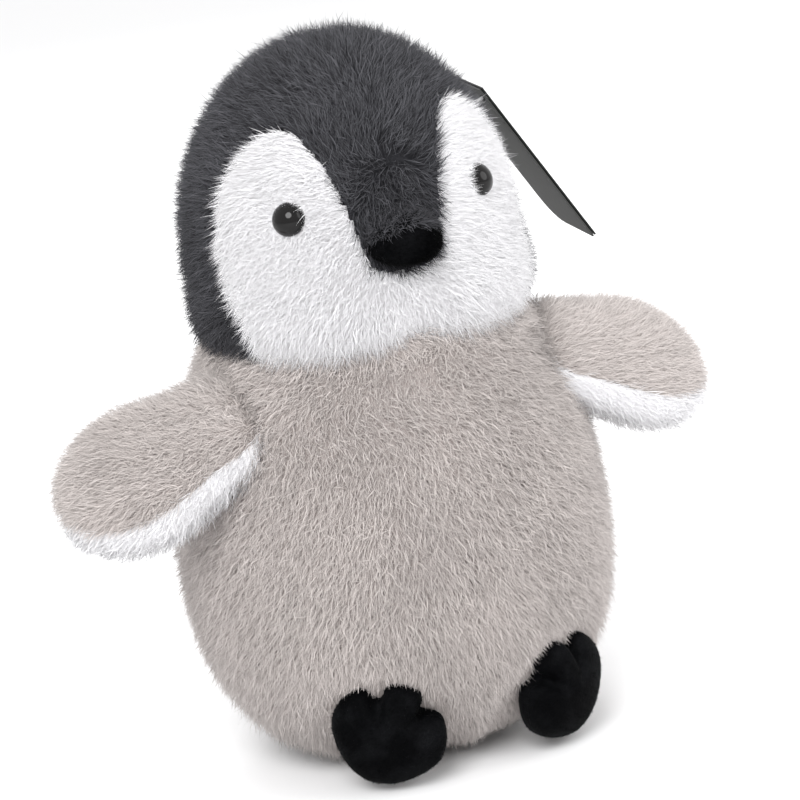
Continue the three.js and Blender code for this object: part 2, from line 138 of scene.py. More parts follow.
def size(name, description, default, lowest, highest):
    return FloatProperty(
        name=name,
        description=description,
        default=default * MM,
        min=lowest * MM,
        max=highest * MM,
        subtype="DISTANCE",
        unit="LENGTH",
    )


def colour(name, description, default):
    return FloatVectorProperty(
        name=name,
        description=description,
        default=default,
        min=0,
        max=1,
        size=3,
        subtype="COLOR",
    )


class PenguinSizes(bpy.types.PropertyGroup):
    pile_height: size("Pile height", "Height of the combed pile over its backing", 6, 2, 12)
    body_strand: size("Body strand", "Length of one strand of the taupe pile", 9, 3, 16)
    head_strand: size("Head strand", "Length of one strand of the charcoal pile", 8.5, 3, 16)
    face_strand: size("Face strand", "Length of one strand of the white pile", 7.8, 3, 16)
    strand_width: size("Strand width", "Width of a strand at its root", 0.32, 0.1, 1.5)
    velour_fibre: size("Velour fibre", "Length of the short fibres on feet and beak", 1.3, 0.3, 4)
    seam_depth: size("Seam depth", "How far the stuffing swells past the seams", 1.4, 0, 6)
    body_count: IntProperty(
        name="Body strands",
        description="Strands on each quarter of the body",
        default=35500,
        min=500,
        max=48000,
    )
    head_count: IntProperty(
        name="Head strands",
        description="Strands on each half of the hood",
        default=35000,
        min=500,
        max=48000,
    )


class PenguinColours(bpy.types.PropertyGroup):
    # Each pile is darker at the root than at the tip: painted shade deep in the pile.
    taupe_root: colour("Taupe root", "Root of the body pile", (0.362, 0.321, 0.305))
    taupe_tip: colour("Taupe tip", "Tip of the body pile", (0.70, 0.647, 0.623))
    charcoal_root: colour("Charcoal root", "Root of the hood pile", (0.010, 0.010, 0.012))
    charcoal_tip: colour("Charcoal tip", "Tip of the hood pile", (0.094, 0.094, 0.103))
    white_root: colour("White root", "Root of the face pile", (0.885, 0.877, 0.895))
    white_tip: colour("White tip", "Tip of the face pile", (0.9, 0.893, 0.91))
    velour: colour("Velour", "Black velour of the feet and beak", (0.0010, 0.0011, 0.0014))
    # The brushed colour is painted sheen where the velour's nap is turned.
    velour_sheen: colour("Velour, painted sheen", "Velour where its nap is turned", (0.011, 0.0115, 0.013))
    eye: colour("Eye plastic", "Black plastic of the eyes", (0.003, 0.0025, 0.0025))
    card_outside: colour("Card outside", "Outer faces of the tag", (0.02, 0.02, 0.02))
    card_inside: colour("Card inside", "Inner faces of the tag", (0.045, 0.046, 0.044))


def sizes():
    return bpy.context.scene.penguin_sizes


def colours():
    return bpy.context.scene.penguin_colours


# ---- Materials ----


def grouped(name, inputs, outputs, wire):
    """The named node group, whose inputs wire joins to its outputs when it is first made."""
    if name not in bpy.data.node_groups:
        tree = bpy.data.node_groups.new(name, "ShaderNodeTree")
        given, out = tree.nodes.new("NodeGroupInput"), tree.nodes.new("NodeGroupOutput")
        for label, default in inputs.items():
            kind = "NodeSocketColor" if isinstance(default, tuple) else "NodeSocketFloat"
            made = tree.interface.new_socket(name=label, in_out="INPUT", socket_type=kind)
            made.default_value = default
        for label, kind in outputs.items():
            tree.interface.new_socket(name=label, in_out="OUTPUT", socket_type=kind)
        wire(tree, given.outputs, out.inputs)
    return bpy.data.node_groups[name]


def noise_node(tree, scale, detail):
    place = tree.nodes.new("ShaderNodeTexCoord")
    noise = tree.nodes.new("ShaderNodeTexNoise")
    noise.inputs["Scale"].default_value = scale
    noise.inputs["Detail"].default_value = detail
    tree.links.new(place.outputs["Object"], noise.inputs["Vector"])
    return noise.outputs["Fac"]


def attribute_node(tree, name):
    node = tree.nodes.new("ShaderNodeAttribute")
    node.attribute_type = "GEOMETRY"
    node.attribute_name = name
    return node.outputs["Fac"]


def maths(tree, operation, first, second, clamp=False):
    node = tree.nodes.new("ShaderNodeMath")
    node.operation = operation
    node.use_clamp = clamp
    for slot, value in zip(node.inputs, (first, second)):
        if isinstance(value, (int, float)):
            slot.default_value = value
        else:
            tree.links.new(value, slot)
    return node.outputs[0]


def mix_colour(tree, share, first, second):
    node = tree.nodes.new("ShaderNodeMix")
    node.data_type = "RGBA"
    for slot, value in ((node.inputs[0], share), (node.inputs[6], first), (node.inputs[7], second)):
        if isinstance(value, (int, float)):
            slot.default_value = value
        elif isinstance(value, (tuple, list)):
            slot.default_value = (*value, 1)
        else:
            tree.links.new(value, slot)
    return node.outputs[2]


# How far strands differ in shade, how strong the broad patches are, the sheen, and the slot.
PILE_FINISHES = {
    "taupe": (0.2, 0.4, 0.06, "grey_long_pile"),
    "charcoal": (1.2, 0.9, 0.02, "charcoal_long_pile"),
    "white": (0.03, 0.03, 0.12, "white_long_pile"),
}
COLOUR = {"Colour": "NodeSocketColor"}
COLOUR_AND_GRAIN = {"Colour": "NodeSocketColor", "Grain": "NodeSocketFloat"}
ROOT_AND_TIP = {"Root": (0.2, 0.2, 0.2, 1), "Tip": (0.6, 0.6, 0.6, 1)}


def scaled(tree, shade, level):
    node = tree.nodes.new("ShaderNodeVectorMath")
    node.operation = "SCALE"
    tree.links.new(shade, node.inputs[0])
    tree.links.new(level, node.inputs["Scale"])
    return node.outputs[0]


def pile_group():
    """Colour of a strand from root to tip, darker at the root as painted shade deep in the pile,
    with a shade of its own and broad patches.
    """

    def wire(tree, given, out):
        # Darker towards the root: painted shade deep in the pile.
        rise = maths(tree, "POWER", attribute_node(tree, "along"), 0.75)
        base = mix_colour(tree, rise, given["Root"], given["Tip"])
        patchy = maths(tree, "SUBTRACT", noise_node(tree, 28, 3), 0.5)
        patchy = maths(tree, "MULTIPLY", patchy, given["Patches"])
        own = maths(tree, "SUBTRACT", attribute_node(tree, "shade"), 0.5)
        own = maths(tree, "MULTIPLY", own, given["Shade Spread"])
        level = maths(tree, "ADD", maths(tree, "ADD", patchy, own), 1)
        tree.links.new(scaled(tree, base, level), out["Colour"])

    inputs = {**ROOT_AND_TIP, "Shade Spread": 0.2, "Patches": 0.15}
    return grouped("Pile Colour", inputs, COLOUR, wire)


def backing_group():
    """Knitted backing seen between the strands: root colour with a fine grain, dark as painted
    shade in the gaps of the pile.
    """

    def wire(tree, given, out):
        fine = noise_node(tree, 1400, 2)
        share = maths(tree, "MULTIPLY", fine, 0.2)
        tree.links.new(mix_colour(tree, share, given["Root"], given["Tip"]), out["Colour"])
        tree.links.new(fine, out["Grain"])

    return grouped("Backing Colour", ROOT_AND_TIP, COLOUR_AND_GRAIN, wire)


def velour_group():
    """Short nap: brushed patches of turned fibres, painted lighter as their sheen, and a fine
    grain.
    """

    def wire(tree, given, out):
        fine = noise_node(tree, 1600, 2)
        share = maths(tree, "SUBTRACT", noise_node(tree, 90, 4), 0.42)
        share = maths(tree, "MULTIPLY", share, 3, clamp=True)
        share = maths(tree, "MULTIPLY", share, fine)
        tree.links.new(mix_colour(tree, share, given["Nap"], given["Sheen Patches"]), out["Colour"])
        tree.links.new(fine, out["Grain"])

    inputs = {"Nap": (0.01, 0.01, 0.01, 1), "Sheen Patches": (0.03, 0.03, 0.03, 1)}
    return grouped("Velour Nap", inputs, COLOUR_AND_GRAIN, wire)


def plain_group(name, scale, spread):
    """Moulded, woven or pressed stuff of nearly one colour, with a grain of the given scale."""

    def wire(tree, given, out):
        grain = noise_node(tree, scale, 4)
        level = maths(tree, "MULTIPLY", maths(tree, "SUBTRACT", grain, 0.5), spread)
        level = maths(tree, "ADD", level, 1)
        tree.links.new(scaled(tree, given["Colour"], level), out["Colour"])
        tree.links.new(grain, out["Grain"])

    return grouped(name, {"Colour": (0.5, 0.5, 0.5, 1)}, COLOUR_AND_GRAIN, wire)


def material(name, group, shades, roughness, bump=0, **fixed):
    """A material coloured, and grained if it can be, by a group. fixed sets plain sockets."""
    if name in bpy.data.materials:
        return bpy.data.materials[name]
    made = bpy.data.materials.new(name)
    made.use_nodes = True
    tree = made.node_tree
    surface = tree.nodes["Principled BSDF"]
    surface.inputs["Roughness"].default_value = roughness
    for label, value in fixed.items():
        surface.inputs[label.replace("_", " ")].default_value = value
    pattern = tree.nodes.new("ShaderNodeGroup")
    pattern.node_tree = group
    for label, value in shades.items():
        pattern.inputs[label].default_value = value if isinstance(value, float) else (*value, 1)
    tree.links.new(pattern.outputs["Colour"], surface.inputs["Base Color"])
    if bump:
        relief = tree.nodes.new("ShaderNodeBump")
        relief.inputs["Strength"].default_value = bump
        relief.inputs["Distance"].default_value = GRAIN_DEPTH
        tree.links.new(pattern.outputs["Grain"], relief.inputs["Height"])
        tree.links.new(relief.outputs["Normal"], surface.inputs["Normal"])
    return made


def velour_material():
    return material(
        "Black velour",
        velour_group(),
        # The lighter patches are painted sheen on the turned nap.
        {"Nap": colours().velour, "Sheen Patches": colours().velour_sheen},
        0.7,
        bump=0.6,
        Specular_IOR_Level=0.03,
        Sheen_Weight=0.012,
        Sheen_Roughness=0.3,
    )


def cloth_finish(kind):
    """(pile material, backing material, record slot) of one of the three pile fabrics."""
    ends = {end.title(): getattr(colours(), f"{kind}_{end}") for end in ("root", "tip")}
    spread, patches, sheen, slot = PILE_FINISHES[kind]
    pile = material(
        kind.title() + " pile",
        pile_group(),
        {**ends, "Shade Spread": spread, "Patches": patches},
        0.9,
        Specular_IOR_Level=0.04,
        Sheen_Weight=sheen,
    )
    # The backing takes the pile's dark root colour: painted shade between the strands.
    backing = material(
        kind.title() + " backing", backing_group(), ends, 0.95, bump=0.5, Specular_IOR_Level=0.1
    )
    return pile, backing, slot


# ---- Mesh helpers ----


def only(obj):
    bpy.ops.object.select_all(action="DESELECT")
    obj.select_set(True)
    bpy.context.view_layer.objects.active = obj


def values(items, attribute, kind=float):
    """One attribute of each vertex, face or triangle, as rows of three."""
    flat = np.empty(len(items) * 3, kind)
    items.foreach_get(attribute, flat)
    return flat.reshape(-1, 3)


def points_of(obj):
    return values(obj.data.vertices, "co")


def move_points(obj, points):
    obj.data.vertices.foreach_set("co", np.ascontiguousarray(points).ravel())
    obj.data.update()


def ball(name, segments, rings):
    bpy.ops.object.select_all(action="DESELECT")
    bpy.ops.mesh.primitive_uv_sphere_add(segments=segments, ring_count=rings, radius=1)
    made = bpy.context.object
    made.name = made.data.name = name
    return made


def copied(obj, name):
    made = obj.copy()
    made.data = obj.data.copy()
    made.name = made.data.name = name
    bpy.context.scene.collection.objects.link(made)
    return made


def trimmed(obj, name, *cuts):
    """A copy without what lies beyond each (point, direction), its new edges left open."""
    made = copied(obj, name)
    for point, direction in cuts:
        only(made)
        bpy.ops.object.mode_set(mode="EDIT")
        bpy.ops.mesh.select_all(action="SELECT")
        bpy.ops.mesh.bisect(plane_co=point, plane_no=direction, clear_outer=True)
        bpy.ops.object.mode_set(mode="OBJECT")
    return made


def apply_modifier(obj, kind, **settings):
    modifier = obj.modifiers.new(kind.title(), kind)
    for name, value in settings.items():
        setattr(modifier, name, value)
    only(obj)
    bpy.ops.object.modifier_apply(modifier=modifier.name)


def backed(obj, thickness=BACKING):
    """Gives an open sheet of cloth its thickness, inwards, and closes its edges."""
    apply_modifier(obj, "SOLIDIFY", thickness=thickness, offset=-1, use_rim=True)
    only(obj)
    bpy.ops.object.shade_smooth()
    return obj


def remove(obj):
    bpy.data.objects.remove(obj, do_unlink=True)


def smoothstep(value, low, high):
    share = np.clip((value - low) / (high - low), 0, 1)
    return share * share * (3 - 2 * share)


def unit(vectors):
    return vectors / np.maximum(np.linalg.norm(vectors, axis=-1, keepdims=True), 1e-9)


def stuffed(obj, voxel, swell, seams):
    """Remeshes a closed skin and lets pressure fill it out between its seams, which stay put."""
    only(obj)
    apply_modifier(obj, "REMESH", mode="VOXEL", voxel_size=voxel, adaptivity=0)
    start = points_of(obj)
    held = obj.vertex_groups.new(name="seams")
    held.add([int(i) for i in np.nonzero(seams(start))[0]], 1.0, "REPLACE")
    cloth = obj.modifiers.new("Cloth", "CLOTH")
    cloth.settings.use_pressure = True
    cloth.settings.uniform_pressure_force = 4
    cloth.settings.vertex_group_mass = "seams"
    cloth.settings.pin_stiffness = 1
    cloth.settings.quality = 4
    cloth.settings.tension_stiffness = 8
    cloth.settings.compression_stiffness = 8
    cloth.settings.bending_stiffness = 0.1
    cloth.settings.effector_weights.gravity = 0
    for number in range(1, 21):
        bpy.context.scene.frame_set(number)
    shown = obj.evaluated_get(bpy.context.evaluated_depsgraph_get())
    moved = points_of(shown) - start
    far = np.linalg.norm(moved, axis=1, keepdims=True)
    obj.modifiers.remove(cloth)
    obj.vertex_groups.clear()
    move_points(obj, start + moved * np.minimum(1, swell / np.maximum(far, 1e-9)))
    bpy.context.scene.frame_set(1)
    apply_modifier(obj, "SMOOTH", factor=0.5, iterations=2)
    apply_modifier(obj, "SUBSURF", levels=1, render_levels=1)
    return obj


def fit_out(piece, look, body, nodes=None):
    piece.data.materials.clear()
    piece.data.materials.append(look)
    if isinstance(body, str):
        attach(piece, body)
    else:
        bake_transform(piece)
    if nodes is not None:
        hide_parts(*nodes)


def filling(form, name, depth, body):
    """The stuffing inside a skin: the same form, that much smaller all round."""
    made = copied(form, name + "_fibre")
    move_points(made, points_of(made) - values(made.data.vertices, "normal") * depth)
    apply_modifier(made, "DECIMATE", ratio=0.3)
    fit_out(made, filling_material(), body, (name,))
    return made


# ---- Pile ----


def ripple(points, reach, seed):
    """A smooth wandering vector at each point, about one unit long and reach metres broad."""
    rng = np.random.default_rng(seed)
    total = np.zeros_like(points)
    for _ in range(7):
        way = unit(rng.normal(size=3)) * (2 * math.pi / reach) * rng.uniform(0.5, 1.3)
        phase = points @ way + rng.uniform(0, 2 * math.pi)
        total += np.sin(phase)[:, None] * unit(rng.normal(size=3))
    return total / 1.9


def scattered(obj, count, seed):
    """Points spread evenly over a sheet, and its outward normals there."""
    mesh = obj.data
    mesh.calc_loop_triangles()
    corners = values(mesh.loop_triangles, "vertices", np.int32)
    normals = values(mesh.vertices, "normal")
    place = points_of(obj)[corners]
    area = np.linalg.norm(
        np.cross(place[:, 1] - place[:, 0], place[:, 2] - place[:, 0]), axis=1
    ).cumsum()
    rng = np.random.default_rng(seed)
    pick = np.searchsorted(area, (np.arange(count) + rng.random(count)) / count * area[-1])
    pick = np.minimum(pick, len(area) - 1)
    root, across = np.sqrt(rng.random(count)), rng.random(count)
    weight = np.stack([1 - root, root * (1 - across), root * across], axis=1)[:, :, None]
    order = rng.permutation(count)
    found = (place[pick] * weight).sum(1), unit((normals[corners[pick]] * weight).sum(1))
    return found[0][order], found[1][order]


def gathered(roots, middles, tips, each, pull, rng):
    """Draws strands towards the leader nearest to them, so the pile lies in locks."""
    leaders = rng.choice(len(roots), max(1, len(roots) // each), replace=False)
    tree = KDTree(len(leaders))
    for number, point in enumerate(roots[leaders]):
        tree.insert(point, number)
    tree.balance()
    near = leaders[[tree.find(point)[1] for point in roots]]
    share = (pull * rng.uniform(0.3, 1, len(roots)))[:, None]
    apart = roots - roots[near]
    middles = middles + (middles[near] + apart * 0.8 - middles) * share * 0.5
    tips = tips + (tips[near] + apart * 0.35 - tips) * share
    return middles, tips


# A curved strand has a ring at its root and its middle, and a straight one only at its root.
CURVED = {
    "faces": [(0, 1, 4, 3), (1, 2, 5, 4), (2, 0, 3, 5), (3, 4, 6), (4, 5, 6), (5, 3, 6), (2, 1, 0)],
    "along": (0, 0, 0, 0.5, 0.5, 0.5, 1),
}
STRAIGHT = {"faces": [(0, 1, 3), (1, 2, 3), (2, 0, 3), (2, 1, 0)], "along": (0, 0, 0, 1)}
MAP_EDGES = (0.08, 0.36, 0.64, 0.92)


def map_cell(faces, along):
    """Where a strand's corners lie in its cell of the map: sides side by side, tips on top."""
    placed = []
    tip = max(max(face) for face in faces)
    for face in faces:
        if all(along[corner] == 0 for corner in face):
            placed += [(0.3, 0.1), (0.7, 0.1), (0.5, 0.05)]
            continue
        side = face[0] % 3
        left, right = MAP_EDGES[side], MAP_EDGES[side + 1]
        for corner in face:
            height = 0.1 + 0.8 * along[corner]
            if corner == tip:
                placed.append(((left + right) / 2, height))
            else:
                placed.append((left if corner % 3 == side else right, height))
    return placed


def woven(name, blocks):
    """One mesh of closed strands, from blocks of one shape: its places, normals and shades."""
    total = sum(len(place) for _, place, _, _ in blocks)
    across = math.ceil(math.sqrt(total))
    keys = ("co", "normal", "vertex", "start", "count", "along", "shade", "map")
    parts = {key: [] for key in keys}
    vertex, loop, done = 0, 0, 0
    for shape, place, normal, shade in blocks:
        number, corners = place.shape[:2]
        faces = shape["faces"]
        order = np.array([corner for face in faces for corner in face])
        counts = np.array([len(face) for face in faces])
        starts = np.concatenate([[0], counts.cumsum()[:-1]])
        parts["co"].append(place.ravel())
        parts["normal"].append(normal.reshape(-1, 3))
        parts["vertex"].append((vertex + np.arange(number)[:, None] * corners + order).ravel())
        parts["start"].append((loop + np.arange(number)[:, None] * len(order) + starts).ravel())
        parts["count"].append(np.tile(counts, number))
        parts["along"].append(np.tile(shape["along"], number))
        parts["shade"].append(np.repeat(shade, corners))
        cell = np.arange(done, done + number)
        cell = np.stack([cell % across, cell // across], axis=1)
        local = np.array(map_cell(faces, shape["along"]))
        parts["map"].append(((cell[:, None, :] + local) / across).reshape(-1, 2))
        vertex += number * corners
        loop += number * len(order)
        done += number
    joined = {key: np.concatenate(value) for key, value in parts.items()}
    mesh = bpy.data.meshes.new(name)
    mesh.vertices.add(vertex)
    mesh.vertices.foreach_set("co", joined["co"])
    mesh.loops.add(loop)
    mesh.loops.foreach_set("vertex_index", joined["vertex"].astype(np.int32))
    mesh.polygons.add(len(joined["start"]))
    mesh.polygons.foreach_set("loop_start", joined["start"].astype(np.int32))
    mesh.polygons.foreach_set("loop_total", joined["count"].astype(np.int32))
    mesh.polygons.foreach_set("use_smooth", np.ones(len(joined["start"]), bool))
    mesh.update(calc_edges=True)
    for key in ("along", "shade"):
        layer = mesh.attributes.new(key, "FLOAT", "POINT")
        layer.data.foreach_set("value", joined[key].astype(np.float32))
    layer = mesh.uv_layers.new(name="OFBake")
    layer.uv.foreach_set("vector", joined["map"].astype(np.float32).ravel())
    mesh.normals_split_custom_set_from_vertices(joined["normal"])
    made = bpy.data.objects.new(name, mesh)
    bpy.context.scene.collection.objects.link(made)
    return made


def combed(
    roots, normals, comb, length, width, lift, rng, lock, pull, wild, curved, relief, ruffled_shade
):
    """One block of strands, combed, strayed and gathered into locks."""
    count = len(roots)
    length = length * rng.uniform(0.72, 1.12, count)
    guard = rng.random(count) < GUARD_SHARE
    length = np.where(guard, length * GUARD_REACH, length)
    flat = unit(comb - normals * (comb * normals).sum(1, keepdims=True))
    stray = rng.normal(size=(count, 3)) * wild
    first = unit(normals * lift[0] + flat * (1 - lift[0]) + stray * 0.6)
    last = unit(normals * lift[1] + flat * (1 - lift[1]) + stray)
    sunk = roots - normals * ROOT_DEPTH
    middles = sunk + first * (length * 0.5)[:, None]
    tips = middles + last * (length * 0.5)[:, None]
    middles, tips = gathered(roots, middles, tips, lock, pull, rng)
    middles[:, 2] = np.maximum(middles[:, 2], 0.8 * MM)
    tips[:, 2] = np.maximum(tips[:, 2], 0.3 * MM)
    way = unit(tips - sunk)
    side = unit(np.cross(way, normals + rng.normal(size=(count, 3)) * 0.5))
    other = np.cross(way, side)
    radius = width * 0.577 * rng.uniform(0.8, 1.15, count) * np.where(guard, 0.7, 1)
    turn = rng.uniform(0, 2 * math.pi, count)
    shape = CURVED if curved else STRAIGHT
    place = np.empty((count, len(shape["along"]), 3))
    facing = np.empty_like(place)
    for corner in range(3):
        angle = turn + corner * 2 * math.pi / 3
        out = side * np.cos(angle)[:, None] + other * np.sin(angle)[:, None]
        place[:, corner] = sunk + out * radius[:, None]
        facing[:, corner] = unit(normals + out * relief)
        if curved:
            place[:, corner + 3] = middles + out * (radius * 0.8)[:, None]
            facing[:, corner + 3] = facing[:, corner]
    place[:, -1] = tips
    facing[:, -1] = unit(normals + way * relief * 0.5)
    # Each strand's shade is random, and darker where the nap is ruffled: painted shade of the roots
    # showing through.
    return shape, place, facing, rng.random(count) * (1 - ruffled_shade)


def strands(
    name,
    roots,
    normals,
    comb,
    length,
    width,
    lift,
    seed,
    lock=LOCK_SIZE,
    pull=0.12,
    wild=0.3,
    under=UNDERCOAT_SHARE,
    relief=0.28,
    ruffled_shade=0,
):
    """Pile of long curved strands over a finer straight undercoat.

    comb is a direction for each root, and length may be one for each. lift is how steeply
    strands leave the cloth and lie at the tip. under is the undercoat's share of the roots, and
    the last argument is how much darker a root's strand is than its neighbours: painted shade
    where the nap is ruffled.
    """
    rng = np.random.default_rng(seed)
    length = np.broadcast_to(length, len(roots))
    ruffled_shade = np.broadcast_to(ruffled_shade, len(roots))
    low = rng.random(len(roots)) < under
    level = (lift[0] + lift[1]) / 2
    blocks = []
    for layer, curved, reach, girth, rise in (
        (~low, True, 1, width, lift),
        (low, False, UNDERCOAT_REACH, width * UNDERCOAT_WIDTH, (level, level)),
    ):
        if layer.any():
            blocks.append(
                combed(
                    roots[layer],
                    normals[layer],
                    comb[layer],
                    length[layer] * reach,
                    girth,
                    rise,
                    rng,
                    lock,
                    pull,
                    wild,
                    curved,
                    relief,
                    ruffled_shade[layer],
                )
            )
    return woven(name, blocks)


def dress(sheet, pile, kind, body, fill, *nodes):
    """Gives cloth and its pile their materials and body, in place of the plain solid."""
    pile_look, backing_look, slot = cloth_finish(kind)
    fit_out(sheet, backing_look, body, nodes)
    fit_out(pile, pile_look, body)


# ---- Forms ----


def oval(obj, half, squeeze, widest, top, under, inset, under_power=2.0):
    """Turns a unit ball into an oval of revolution, its two halves of their own reach."""
    ball_points = points_of(obj)
    level = ball_points[:, 2]
    power = np.where(level >= 0, 2.0, under_power)
    ring = np.hypot(ball_points[:, 0], ball_points[:, 1])
    girth = np.maximum(ring, 1e-9) ** (2 / power) / np.maximum(ring, 1e-9) * (half - inset)
    reach = np.where(level >= 0, top, under) - inset
    height = widest + np.sign(level) * np.abs(level) ** (2 / power) * reach
    move_points(
        obj,
        np.stack(
            [
                ball_points[:, 0] * girth,
                ball_points[:, 1] * girth * (half * squeeze - inset) / (half - inset),
                height,
            ],
            axis=1,
        ),
    )
    return obj


def body_ball(inset):
    made = oval(
        ball("body_form", 72, 48),
        BODY_HALF,
        BODY_SQUEEZE,
        BODY_WIDEST,
        BODY_SHOULDER,
        BODY_UNDER,
        inset,
        BODY_ROUNDNESS,
    )
    place = points_of(made)
    place[:, 2] = np.maximum(place[:, 2], 2.2 * MM)
    move_points(made, place)
    return made


def head_ball(inset):
    return oval(
        ball("head_form", 72, 48),
        HEAD_HALF,
        HEAD_SQUEEZE,
        HEAD_WIDEST,
        HEAD_TOP,
        HEAD_CHIN,
        inset,
    )


def flipper_axes(side):
    """Root and unit axes of a flipper: along it, across to its lower front edge, out of its top."""
    joint = JOINTS["flipper_lift_" + side]
    sign = SIDES[side]
    along = Vector(
        (
            sign * math.cos(FLIPPER_DROOP) * math.cos(FLIPPER_SWEEP),
            math.cos(FLIPPER_DROOP) * math.sin(FLIPPER_SWEEP),
            -math.sin(FLIPPER_DROOP),
        )
    )
    across = Vector(joint["axis"]).normalized()
    if across.y > 0:
        across = -across
    top = along.cross(across) * -sign
    return np.array(joint["pos_m"]), np.array(along), np.array(across), np.array(top)


def in_axes(points, origin, *axes):
    return np.stack([(points - origin) @ axis for axis in axes], axis=1)


def flipper_section(reach):
    """Half width and half thickness of a flipper that far from its root, tapering at both ends."""
    swell = smoothstep(reach, 0, FLIPPER_LENGTH * 0.55)
    width = FLIPPER_ROOT_WIDTH + (FLIPPER_HALF_WIDTH - FLIPPER_ROOT_WIDTH) * swell
    thick = FLIPPER_ROOT_THICKNESS + (FLIPPER_HALF_THICKNESS - FLIPPER_ROOT_THICKNESS) * swell
    half = FLIPPER_LENGTH * 0.5
    past = np.clip((reach - half) / half, 0, 1)
    tip = np.sqrt(np.maximum(0, 1 - past**2.2))
    behind = np.clip(-reach / FLIPPER_ROOT_THICKNESS, 0, 1)
    heel = np.sqrt(np.maximum(0, 1 - behind**2))
    return width, thick, tip * heel


def in_flipper(points, side, room=0.0):
    """True for points inside a flipper's outline grown by room."""
    local = in_axes(points, *flipper_axes(side))
    width, thick, taper = flipper_section(local[:, 0] - room)
    return (
        (local[:, 1] / (width + room)) ** 2 + (local[:, 2] / (thick + room)) ** 2
    ) < taper**2


def foot_axes(side):
    """Middle and unit axes of a foot: across, up to the toes, out of its front."""
    joint = JOINTS["foot_flex_" + side]
    outward = Vector(joint["axis"]).cross(Vector((0, 0, 1))).normalized()
    middle = Vector(joint["pos_m"]) + outward * FOOT_HALF_THICKNESS
    turn = Matrix.Rotation(-math.atan2(-middle.x, -middle.y), 3, "Z")
    tilt = Matrix.Rotation(FOOT_TILT, 3, "X")
    toe_in = Matrix.Rotation(FOOT_TOE_IN * SIDES[side], 3, "Z")
    axes = turn @ tilt @ toe_in
    return np.array(middle), *(np.array(axes.col[i]) for i in range(3))


def in_foot(points, side, room=0.0):
    local = in_axes(points, *foot_axes(side))
    return (
        (local[:, 0] / (FOOT_HALF_WIDTH + room)) ** 2
        + (local[:, 1] / (FOOT_HALF_LENGTH + room)) ** 2
        < 1
    ) & (np.abs(local[:, 2]) < FOOT_HALF_THICKNESS + room)


# ---- Body ----


def body_comb(points):
    """Nap of the body: down and outwards, tousled high on the chest."""
    outward = points * (1, 1, 0)
    comb = unit(outward) * 0.15 + np.array((0, 0, -1.0))
    tousle = chest_tousle(points)
    comb += ripple(points, 26 * MM, 5) * (0.16 + 0.45 * tousle)[:, None]
    return comb + ripple(points, 9 * MM, 6) * 0.1


def near_foot(points, side):
    """1 at a foot's outline, falling to 0 a third of the foot away from it."""
    local = in_axes(points, *foot_axes(side))
    ring = np.hypot(local[:, 0] / FOOT_HALF_WIDTH, local[:, 1] / FOOT_HALF_LENGTH)
    return 1 - smoothstep(ring, 1.05, 1.4)


def chest_tousle(points):
    """How far the nap is ruffled, from 0 to 1: most of all high on the chest."""
    high = smoothstep(points[:, 2], 108 * MM, 142 * MM)
    return high * smoothstep(-points[:, 1], -10 * MM, 30 * MM)


class PENGUIN_OT_body(bpy.types.Operator):
    """Stuffs the body, cuts it into its four panels and its base, and grows the taupe pile"""

    bl_idname = "penguin.body"
    bl_label = "Body"

    def execute(self, context):
        chosen = sizes()
        swell = chosen.seam_depth
        form = stuffed(
            body_ball(chosen.pile_height - BODY_FULLNESS),
            4.5 * MM,
            swell,
            lambda p: (np.minimum(abs(p[:, 0]), abs(p[:, 1])) < 2.5 * MM) | (p[:, 2] < 4 * MM),
        )
        top = ((0, 0, NECK - NECK_GAP), (0, 0, 1))
        low = 3 * MM
        for side, sign in SIDES.items():
            for part, facing in (("front", -1), ("back", 1)):
                name = f"body_{part}_panel_{side}"
                sheet = trimmed(
                    form,
                    name + "_cloth",
                    top,
                    ((0, 0, low), (0, 0, -1)),
                    ((0, 0, 0), (-sign, 0, 0)),
                    ((0, 0, 0), (0, -facing, 0)),
                )
                seed = 10 + sign + 2 * facing
                roots, normals = scattered(sheet, int(chosen.body_count * 1.12), seed)
                keep = ~in_flipper(roots, side, -8 * MM)
                keep &= ~in_foot(roots, side, -4 * MM)
                roots = roots[keep][: chosen.body_count]
                normals = normals[keep][: chosen.body_count]
                seam = np.exp(-((roots[:, 0] / (3 * MM)) ** 2))
                seam *= smoothstep(roots[:, 2], 100 * MM, 125 * MM)
                high = smoothstep(roots[:, 2], 115 * MM, 145 * MM)
                length = chosen.body_strand * (1 - 0.25 * seam - 0.12 * high)
                length = length * smoothstep(roots[:, 2], -8 * MM, 14 * MM)
                length = length * (1 - 0.45 * near_foot(roots, side))
                pile = strands(
                    name.replace("panel", "pile"),
                    roots,
                    normals,
                    body_comb(roots),
                    length,
                    chosen.strand_width,
                    (0.72, 0.36),
                    seed + 20,
                    # Strands are darker on the ruffled chest: painted shade of the disordered nap.
                    ruffled_shade=chest_tousle(roots) * 0.55,
                )
                dress(backed(sheet), pile, "taupe", "body", 0.8, name)
        base = trimmed(form, "base_panel_cloth", ((0, 0, low - 0.2 * MM), (0, 0, 1)))
        _, backing_look, slot = cloth_finish("taupe")
        fit_out(backed(base), backing_look, "body", ("base_panel",))
        remove(form)
        return {"FINISHED"}


